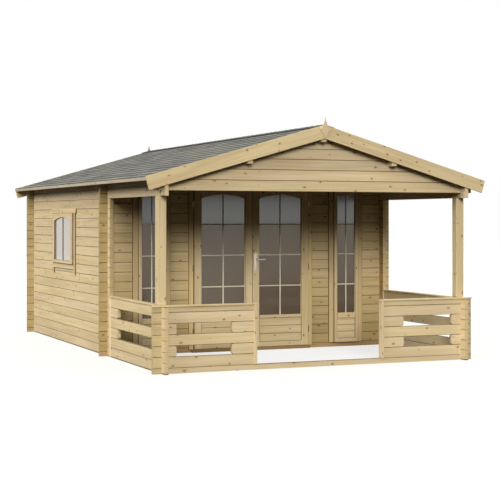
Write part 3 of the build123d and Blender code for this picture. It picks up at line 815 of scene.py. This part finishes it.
def side_rails(tree, at):
    """Between the stiles of a side window's sash."""
    return between(tree, at["Y"], *SIDE_LIGHT_Y)


def side_sash_joints(tree, at):
    """The edges of a side window's sash, and of its light below the arch."""
    straight = maths(tree, "LESS_THAN", at["Z"], SIDE_SPRING)
    light = maths(tree, "MULTIPLY", thin_lines(tree, at["Y"], SIDE_LIGHT_Y), straight)
    uprights = maths(tree, "MAXIMUM", light, thin_lines(tree, at["Y"], SIDE_SASH_Y))
    return maths(tree, "MAXIMUM", uprights, thin_lines(tree, at["Z"], SIDE_SASH_Z))


side_casing_wood = spruce("side_casing_wood", "Z", seed=45.0, crossed=("Y", beside_side_sash),
                          seams=side_casing_edges)
dress(side_casing_wood, "side_window_casings")
side_sash_wood = spruce("side_sash_wood", "Z", seed=46.0, crossed=("Y", side_rails), seams=side_sash_joints)
dress(side_sash_wood, "side_window_sashes")

# Door leaves: planed spruce stiles and rails, glued up round an arched light and a panel of three boards
# that lie across the leaf below it.
LEAF_RAIL = 0.060
LEAF_PANEL_TALL = 0.300
leaf_low, leaf_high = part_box("right_door_leaf")
LEAF_EDGE = leaf_high[0]
LEAF_PANEL = (leaf_low[2] + LEAF_RAIL, leaf_low[2] + LEAF_RAIL + LEAF_PANEL_TALL)
light_low, light_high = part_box("right_door_glass")
LEAF_LIGHT = (light_low[0], light_high[0])


def leaf_rails(tree, at):
    """Between the stiles of a door leaf."""
    return between(tree, maths(tree, "ABSOLUTE", at["X"]), *LEAF_LIGHT)


def leaf_joints(tree, at):
    """Joints of a door leaf."""
    return frame_joints(tree, at, LEAF_LIGHT, LEAF_PANEL, (LEAF_EDGE,))


for name, seed in (("left", 47.0), ("right", 48.0)):
    leaf_wood = spruce(f"{name}_leaf_wood", "Z", seed=seed, crossed=("X", leaf_rails), seams=leaf_joints)
    dress(leaf_wood, f"{name}_door_leaf")

# Panes: single glass, held between the rebate and the beads. It mirrors the light outside softly, and
# little shows of the dark room behind it. A faint film of dust warms and dulls it. Its reflection is painted
# warm below and bluer in the top row in front, and the side panes' pale colour is painted reflection.
PANE_CLEAR = (0.034, 0.017, 0.005)
PANE_DUSTY = (0.040, 0.021, 0.008)
# Painted reflection: the side panes' pale base colour stands in for the bright sky that they mirror.
SIDE_PAINTED_CLEAR = (0.290, 0.240, 0.172)
SIDE_PAINTED_DUSTY = (0.315, 0.260, 0.188)
FILM_STRETCH = (3.0, 3.0, 3.0)
PANE_ROUGH = (0.31, 0.36)
SIDE_ROUGH = (0.18, 0.24)
TOP_ROW_RISE = (1.57, 1.67)
TOP_ROW_ROUGH = 0.20
COOL_REFLECTION_TINT = (0.970, 1.000, 0.970)
WARM_REFLECTION_TINT = (0.885, 0.795, 0.660)


def pane(name, clear, dusty, film_rough, gloss, tint_rise=None):
    """Glass with a faint film of dust, which also dulls it up to a given height; there its painted
    reflection turns from warm to bluer and sharper.

    Gloss holds the values of the shader's other sockets."""
    made, tree, shader = new_material(name)
    place = wire(tree, "ShaderNodeTexCoord").outputs["Object"]
    film = ramp(tree, noise(tree, place, FILM_STRETCH, detail=4.0), *NOISE_SPAN)
    rough = ramp(tree, film, 0.0, 1.0, *film_rough)
    if tint_rise:
        top_row = ramp(tree, wire(tree, "ShaderNodeSeparateXYZ", {0: place}).outputs["Z"], *tint_rise)
        rough = swap(tree, top_row, rough, TOP_ROW_ROUGH)
        tree.links.new(blend(tree, top_row, WARM_REFLECTION_TINT, COOL_REFLECTION_TINT), shader.inputs["Specular Tint"])
    tree.links.new(blend(tree, film, clear, dusty), shader.inputs["Base Color"])
    tree.links.new(rough, shader.inputs["Roughness"])
    for socket, value in gloss.items():
        shader.inputs[socket].default_value = value
    return made


front_gloss = {"IOR": 2.12, "Alpha": 0.92, "Coat Weight": 0.3, "Coat Roughness": 0.03}
front_pane = pane("front_pane", PANE_CLEAR, PANE_DUSTY, PANE_ROUGH, front_gloss, TOP_ROW_RISE)
dress(front_pane, "left_door_glass", "right_door_glass", "front_window_glass")
side_gloss = {"Coat Weight": 1.0, "Coat Roughness": 0.02}
dress(pane("side_pane", SIDE_PAINTED_CLEAR, SIDE_PAINTED_DUSTY, SIDE_ROUGH, side_gloss), "side_window_glass")

# Glazing beads and bars: slim planed spruce strips, pinned on both faces of the panes. Beads run round
# each light, an upright bar stands in its middle, and cross bars are let into that. The front bars are
# primed off-white between beads of bare wood, and in the side windows both are coloured dark as painted
# shade.
BEAD_WIDE = 0.006
BEAD_DEEP = 0.010
BEAD_CHAMFER = 0.003
BAR_WIDE = 0.014
BAR_DEEP = 0.008
BAR_CHAMFER = 0.003
BAR_PALE = (0.700, 0.655, 0.550)
BAR_DARK = (0.610, 0.555, 0.440)
SHADE_BAR_PALE = (0.150, 0.120, 0.110)
SHADE_BAR_DARK = (0.110, 0.085, 0.080)
DOOR_ARCH = 0.056
GLASS_HALF = 0.003
ARCH_CUTS = 15
CROSS_BARS = (0.818, 1.213, 1.602)
ACROSS = 0.1
bead_wood = spruce("glazing_bead_wood", "Z", seed=51.0, knots=0.0)
bar_paint = spruce("glazing_bar_paint", "Z", seed=52.0, pale=BAR_PALE, dark=BAR_DARK, knots=0.0)
bar_shade = spruce("glazing_bar_stain", "Z", seed=53.0, pale=SHADE_BAR_PALE, dark=SHADE_BAR_DARK, knots=0.0)


def glazing_bar(name, low, high, finish):
    """One straight bar between two corners, its long edges chamfered in front."""
    bar = slab(name, low, high)
    bar.data.materials.append(finish)
    size = [last - first for first, last in zip(low, high)]
    long = size.index(max(size))
    bevel_edges(bar, BAR_CHAMFER, 2, lambda middle, way: (
        abs(way[long]) > ALONG and middle.y < low[1] + TINY))
    return bar


def bead_ring(name, half, bottom, spring, crown, finish):
    """Bead round a light that faces the front: mitred at its corners, with its inner edge chamfered."""
    rise = crown - spring
    radius = (half ** 2 + rise ** 2) / (2 * rise) if rise > TINY else None

    def arch(x):
        return spring if radius is None else crown - radius + math.sqrt(radius ** 2 - x ** 2)

    ring = begin(bpy.ops.mesh.primitive_plane_add, name, size=1.0, rotation=(math.pi / 2, 0.0, 0.0))
    ring.scale = (2 * half, spring - bottom, 1.0)
    ring.location = (0.0, -GLASS_HALF, (bottom + spring) / 2)
    apply_place(ring)
    ring.data.materials.append(finish)
    edit(ring)
    if radius:
        pick(ring, "EDGE", lambda middle, way: middle.z > spring - TINY)
        bpy.ops.mesh.subdivide(number_cuts=ARCH_CUTS)
        shape = bmesh.from_edit_mesh(ring.data)
        for corner in shape.verts:
            if corner.co.z > spring - TINY:
                corner.co.z = arch(corner.co.x)
        bmesh.update_edit_mesh(ring.data)
    pick(ring, "FACE", lambda middle, normal: True)
    bpy.ops.mesh.inset(thickness=BEAD_WIDE)
    bpy.ops.mesh.delete(type="FACE")
    done()
    deep = ring.modifiers.new("deep", "SOLIDIFY")
    deep.thickness = BEAD_DEEP
    deep.offset = 1.0
    finish_modifier(ring, deep)
    inside = BEAD_WIDE / 2
    bevel_edges(ring, BEAD_CHAMFER, 2, lambda middle, way: (
        middle.y < -GLASS_HALF - BEAD_DEEP + TINY and abs(way.y) < ACROSS and abs(middle.x) < half - inside
        and bottom + inside < middle.z < arch(middle.x) - inside))
    return ring


def copy_of(piece):
    """Copy of a piece with a mesh of its own."""
    alone(piece)
    bpy.ops.object.duplicate()
    return bpy.context.object


def glazing(name, half, bottom, spring, crown, heights, bead_finish, bar_finish):
    """Beads and bars of one light, on both faces of a pane that stands at y = 0."""
    face = -GLASS_HALF
    edge = BAR_WIDE / 2
    inner = half - BEAD_WIDE
    strips = [bead_ring(name, half, bottom, spring, crown, bead_finish)]
    bars = [((-edge, face - BAR_DEEP, bottom + BEAD_WIDE), (edge, face, crown - BEAD_WIDE))]
    for height in heights:
        for left, right in ((-inner, -edge), (edge, inner)):
            bars.append(((left, face - BAR_DEEP, height - edge), (right, face, height + edge)))
    strips.extend(glazing_bar(name, low, high, bar_finish) for low, high in bars)
    front = join(strips)
    back = copy_of(front)
    back.rotation_euler = (0.0, 0.0, math.pi)
    apply_place(back)
    return join([front, back])


def set_light(piece, middle, turn):
    """Puts a light's beads and bars in their place, turned to face the way that its wall does."""
    piece.location = (middle[0], middle[1], 0.0)
    piece.rotation_euler = (0.0, 0.0, turn)
    apply_place(piece)


for name in ("left", "right"):
    low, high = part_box(f"{name}_door_glass")
    half = (high[0] - low[0]) / 2
    bars = glazing(f"{name}_door_bars", half, low[2], high[2] - DOOR_ARCH, high[2], CROSS_BARS,
                   bead_wood, bar_paint)
    set_light(bars, ((low[0] + high[0]) / 2, (low[1] + high[1]) / 2), 0.0)
    hand_over(bars, None, f"{name}_leaf", "joinery")
low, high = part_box("front_window_glass")
window_bars = []
for side in (-1, 1):
    half = (LIGHT_SPAN[1] - LIGHT_SPAN[0]) / 2
    bars = glazing("front_window_bars", half, low[2], high[2], high[2], CROSS_BARS, bead_wood, bar_paint)
    set_light(bars, (side * (LIGHT_SPAN[0] + half), (low[1] + high[1]) / 2), 0.0)
    window_bars.append(bars)
hand_over(join(window_bars), None, "cabin", "joinery")
low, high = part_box("side_window_glass")
side_bars = []
for side in (-1, 1):
    half = (high[1] - low[1]) / 2
    bars = glazing("side_window_bars", half, low[2], SIDE_SPRING, high[2], (), bar_shade, bar_shade)
    set_light(bars, (side * (high[0] - GLASS_HALF), (low[1] + high[1]) / 2), side * math.pi / 2)
    side_bars.append(bars)
hand_over(join(side_bars), None, "cabin", "joinery")

# Hinges: turned knuckles of bronzed steel on pins, three to each leaf. One half is screwed into the leaf
# and the other into the jamb.
BRONZE_DARK = (0.135, 0.096, 0.058)
BRONZE_PALE = (0.235, 0.172, 0.106)
BRONZE_ROUGH = (0.45, 0.60)
BRONZE_MOTTLE = (160.0, 160.0, 160.0)


def metal(name, dark, pale, rough, stretch):
    """Bare or coloured steel with a fine uneven sheen."""
    made, tree, shader = new_material(name)
    sheen = noise(tree, wire(tree, "ShaderNodeTexCoord").outputs["Object"], stretch, detail=3.0)
    tree.links.new(blend(tree, sheen, dark, pale), shader.inputs["Base Color"])
    tree.links.new(ramp(tree, sheen, *NOISE_SPAN, *rough), shader.inputs["Roughness"])
    shader.inputs["Metallic"].default_value = 1.0
    return made


bronze = metal("bronzed_steel", BRONZE_DARK, BRONZE_PALE, BRONZE_ROUGH, BRONZE_MOTTLE)
dress(bronze, "door_hinge_pins", "left_leaf_hinges", "right_leaf_hinges")

# Lever handle: a pressed plate of satin steel on each face of the right leaf, held by two screws, with a
# collar round the lever and the lock's cylinder below it. The levers are bent from flat bar with rounded
# edges, and sit on the two ends of one square spindle.
STEEL_DARK = (0.49, 0.43, 0.39)
STEEL_PALE = (0.63, 0.55, 0.50)
STEEL_ROUGH = (0.36, 0.48)
STEEL_BRUSH = (900.0, 900.0, 30.0)
ROUND_SIDES = 32
SMOOTH_ANGLE = 35
PLATE_THICK = 0.004
PLATE_CORNER = 0.009
PLATE_RIM = 0.0012
COLLAR_RADIUS = 0.0125
COLLAR_DEEP = 0.006
LOCK_DROP = 0.072
LOCK_RADIUS = 0.0085
LOCK_DEEP = 0.003
LOCK_RIM = 0.0006
LOCK_FOOT = 0.016
FOOT_HALF = 0.0051
FOOT_ROUND_SHARE = 0.95
KEY_SHARE = 0.22
KEY_EDGE = 0.0034
KEY_DEEP = 0.0015
SCREW_RADIUS = 0.0035
SCREW_DEEP = 0.0012
SCREW_RIM = 0.0003
SCREW_INSET = 0.014
SLOT_EDGE = 0.000875
SLOT_DEEP = 0.00072
LEVER_DEEP = 0.014
LEVER_TALL = 0.018
LEVER_ROUND = 0.004
LEVER_BEND = 0.013
LEVER_TIP = 0.003
SPINDLE_HALF = 0.004
SPINDLE_CHAMFER = 0.0008
HAIR = 0.0001
steel = metal("satin_steel", STEEL_DARK, STEEL_PALE, STEEL_ROUGH, STEEL_BRUSH)


def turned(name, radius, deep, place, rim):
    """Round steel piece that stands forward from a place, with its front rim softened."""
    piece = begin(bpy.ops.mesh.primitive_cylinder_add, name, vertices=ROUND_SIDES, radius=radius, depth=deep,
                  rotation=(math.pi / 2, 0.0, 0.0), location=(place[0], place[1] - deep / 2, place[2]))
    apply_place(piece)
    bevel_edges(piece, rim, 2, lambda middle, way: (
        middle.y < place[1] - deep + HAIR and abs(way.y) < ACROSS))
    return piece


def sink(piece, front, edge, share, depth):
    """Sinks a slot into the front face of a round piece, narrowed to a share of its width."""
    edit(piece)
    pick(piece, "FACE", lambda middle, normal: normal.y < -ALONG and middle.y < front + HAIR)
    bpy.ops.mesh.inset(thickness=edge)
    shape = bmesh.from_edit_mesh(piece.data)
    middle = next(face.calc_center_median() for face in shape.faces if face.select)
    bpy.ops.transform.resize(value=(share, 1.0, 1.0), center_override=middle)
    bpy.ops.mesh.extrude_region_move(TRANSFORM_OT_translate={"value": (0.0, depth, 0.0)})
    done()


def smooth(piece):
    """Shades a piece smooth across its blunt edges."""
    alone(piece)
    bpy.ops.object.shade_smooth_by_angle(angle=math.radians(SMOOTH_ANGLE))


low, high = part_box("handle_plates")
lever_low, lever_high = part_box("door_lever")
axis_height = (lever_low[2] + lever_high[2]) / 2
HANDLE_AXIS = (low[0] + high[0]) / 2
LEAF_MIDDLE = (low[1] + high[1]) / 2
front = low[1]
plate = slab("handle_plates_steel", low, (high[0], front + PLATE_THICK, high[2]))
bevel_edges(plate, PLATE_CORNER, 6, lambda middle, way: abs(way.y) > ALONG)
bevel_edges(plate, PLATE_RIM, 2, lambda middle, way: middle.y < front + TINY and abs(way.y) < ACROSS)
collar = turned("collar", COLLAR_RADIUS, COLLAR_DEEP, (HANDLE_AXIS, front, axis_height), PLATE_RIM)
lock_height = axis_height - LOCK_DROP
lock = turned("lock", LOCK_RADIUS, LOCK_DEEP, (HANDLE_AXIS, front, lock_height), LOCK_RIM)
sink(lock, front - LOCK_DEEP, KEY_EDGE, KEY_SHARE, KEY_DEEP)
foot = slab("lock_foot", (HANDLE_AXIS - FOOT_HALF, front - LOCK_DEEP, lock_height - LOCK_RADIUS - LOCK_FOOT),
            (HANDLE_AXIS + FOOT_HALF, front, lock_height))
bevel_edges(foot, FOOT_HALF * FOOT_ROUND_SHARE, 6, lambda middle, way: (
    abs(way.y) > ALONG and middle.z < lock_height - LOCK_RADIUS))
fittings = [plate, collar, lock, foot]
for height in (low[2] + SCREW_INSET, high[2] - SCREW_INSET):
    screw = turned("screw", SCREW_RADIUS, SCREW_DEEP, (HANDLE_AXIS, front, height), SCREW_RIM)
    sink(screw, front - SCREW_DEEP, SLOT_EDGE, KEY_SHARE, SLOT_DEEP)
    fittings.append(screw)
plates = join(fittings)
inner = copy_of(plates)
inner.rotation_euler = (0.0, 0.0, math.pi)
inner.location = (2 * HANDLE_AXIS, 2 * LEAF_MIDDLE, 0.0)
apply_place(inner)
plates = join([plates, inner])
smooth(plates)
hand_over(plates, steel, "right_leaf", "steel", "handle_plates")

lever = begin(bpy.ops.mesh.primitive_plane_add, "lever_steel", size=1.0,
              rotation=(math.pi / 2, 0.0, 0.0), location=(HANDLE_AXIS, front, axis_height))
lever.scale = (LEVER_DEEP, LEVER_TALL, 1.0)
apply_place(lever)
grip = lever_low[1] + LEVER_DEEP / 2
edit(lever)
bpy.ops.mesh.select_all(action="SELECT")
bpy.ops.mesh.bevel(offset=LEVER_ROUND, segments=4, affect="VERTICES")
bpy.ops.mesh.select_all(action="SELECT")
bpy.ops.mesh.delete(type="ONLY_FACE")
bpy.ops.mesh.select_all(action="SELECT")
bpy.ops.mesh.extrude_region_move(TRANSFORM_OT_translate={"value": (0.0, grip + LEVER_BEND - front, 0.0)})
bend_middle = (HANDLE_AXIS + LEVER_BEND, grip + LEVER_BEND, axis_height)
bpy.ops.mesh.spin(steps=8, angle=math.pi / 2, center=bend_middle, axis=(0.0, 0.0, 1.0))
reach = lever_high[0] - HANDLE_AXIS - LEVER_BEND
bpy.ops.mesh.extrude_region_move(TRANSFORM_OT_translate={"value": (reach, 0.0, 0.0)})
bpy.ops.mesh.edge_face_add()
bpy.ops.mesh.bevel(offset=LEVER_TIP, segments=3)
pick(lever, "EDGE", lambda middle, way: middle.y > front - TINY and abs(way.y) < ACROSS)
bpy.ops.mesh.edge_face_add()
bpy.ops.mesh.select_all(action="SELECT")
bpy.ops.mesh.remove_doubles(threshold=WELD_REACH)
bpy.ops.mesh.normals_make_consistent(inside=False)
done()
inner = copy_of(lever)
inner.scale = (1.0, -1.0, 1.0)
inner.location = (0.0, 2 * LEAF_MIDDLE, 0.0)
apply_place(inner)
edit(inner)
bpy.ops.mesh.select_all(action="SELECT")
bpy.ops.mesh.normals_make_consistent(inside=False)
done()
spindle = slab("spindle", (HANDLE_AXIS - SPINDLE_HALF, front, axis_height - SPINDLE_HALF),
               (HANDLE_AXIS + SPINDLE_HALF, 2 * LEAF_MIDDLE - front, axis_height + SPINDLE_HALF))
bevel_edges(spindle, SPINDLE_CHAMFER, 1, lambda middle, way: abs(way.y) > ALONG)
lever = join([lever, inner, spindle])
smooth(lever)
hand_over(lever, steel, "lever", "steel", "door_lever")

# Studio: a pale floor, soft light from the left and the front, a weaker one from behind, and the camera
# at eye height. Only what the camera, gloss and glass see of the floor and sky is white.
FLOOR_HALF = 40.0
FLOOR_DROP = 0.001
FLOOR_BOUNCE = (0.02, 0.02, 0.02, 1.0)
FLOOR_PALE = (0.9, 0.9, 0.9, 1.0)
FLOOR_GLOW = 0.62
WHITE = (1.0, 1.0, 1.0, 1.0)


def seen_share(tree):
    """One for what the camera, gloss and glass see, and nought for light that falls on the wood."""
    ray = wire(tree, "ShaderNodeLightPath")
    seen = maths(tree, "MAXIMUM", ray.outputs["Is Camera Ray"], ray.outputs["Is Glossy Ray"])
    return maths(tree, "MAXIMUM", seen, ray.outputs["Is Transmission Ray"])


floor = begin(bpy.ops.mesh.primitive_plane_add, "studio_floor", size=2 * FLOOR_HALF,
              location=(0.0, 0.0, -FLOOR_DROP))
floor_paint, tree, shader = new_material("studio_floor")
dull = wire(tree, "ShaderNodeBsdfDiffuse", {"Color": FLOOR_BOUNCE})
lit = wire(tree, "ShaderNodeBsdfDiffuse", {"Color": FLOOR_PALE})
glow = wire(tree, "ShaderNodeEmission", {"Color": WHITE, "Strength": 1.0})
pale = wire(tree, "ShaderNodeMixShader", {0: FLOOR_GLOW, 1: lit.outputs[0], 2: glow.outputs[0]})
either = wire(tree, "ShaderNodeMixShader", {0: seen_share(tree), 1: dull.outputs[0], 2: pale.outputs[0]})
tree.links.new(either.outputs[0], tree.nodes["Material Output"].inputs["Surface"])
floor.data.materials.append(floor_paint)

HORIZON_LIGHT = 0.05
ZENITH_LIGHT = 1.10
SKY_COLOUR = (1.0, 0.94, 0.81, 1.0)
world = bpy.data.worlds.new("studio")
bpy.context.scene.world = world
world.use_nodes = True
tree = world.node_tree
way = wire(tree, "ShaderNodeSeparateXYZ", {0: wire(tree, "ShaderNodeTexCoord").outputs["Generated"]})
sky = tree.nodes["Background"]
sky.inputs["Color"].default_value = SKY_COLOUR
climb = wire(tree, "ShaderNodeMapRange", {0: way.outputs["Z"], 3: HORIZON_LIGHT, 4: ZENITH_LIGHT})
tree.links.new(climb.outputs[0], sky.inputs["Strength"])
white = wire(tree, "ShaderNodeBackground", {"Color": WHITE, "Strength": 1.0})
either = wire(tree, "ShaderNodeMixShader", {0: seen_share(tree), 1: sky.outputs[0], 2: white.outputs[0]})
tree.links.new(either.outputs[0], tree.nodes["World Output"].inputs["Surface"])


def soft_sun(name, comes_from, energy, spread, colour):
    """Sun lamp with a wide disc, so that its shadows are soft."""
    lamp_data = bpy.data.lights.new(name, "SUN")
    lamp_data.energy = energy
    lamp_data.angle = math.radians(spread)
    lamp_data.color = colour
    lamp = bpy.data.objects.new(name, lamp_data)
    bpy.context.collection.objects.link(lamp)
    lamp.rotation_euler = Vector(comes_from).to_track_quat("Z", "Y").to_euler()


soft_sun("left_light", (-0.87, -0.18, 0.46), energy=2.30, spread=26.0, colour=(1.0, 0.985, 0.985))
soft_sun("front_light", (-0.26, -0.90, 0.34), energy=2.15, spread=20.0, colour=(1.0, 0.975, 0.945))
soft_sun("back_light", (0.60, 0.62, 0.50), energy=2.0, spread=60.0, colour=(1.0, 0.98, 0.95))

CAMERA_PLACE = (-6.4973, -16.1965, 1.6676)
CAMERA_TURN = -23.061
CAMERA_LENS = 93.45
CAMERA_SHIFT = -0.0615
CAMERA_SENSOR = 36.0
camera_data = bpy.data.cameras.new("camera")
camera_data.sensor_width = CAMERA_SENSOR
camera_data.lens = CAMERA_LENS
camera_data.shift_y = CAMERA_SHIFT
camera = bpy.data.objects.new("camera", camera_data)
bpy.context.collection.objects.link(camera)
camera.location = CAMERA_PLACE
camera.rotation_euler = (math.radians(90), 0.0, math.radians(CAMERA_TURN))
bpy.context.scene.camera = camera
bpy.context.scene.view_settings.view_transform = "Standard"
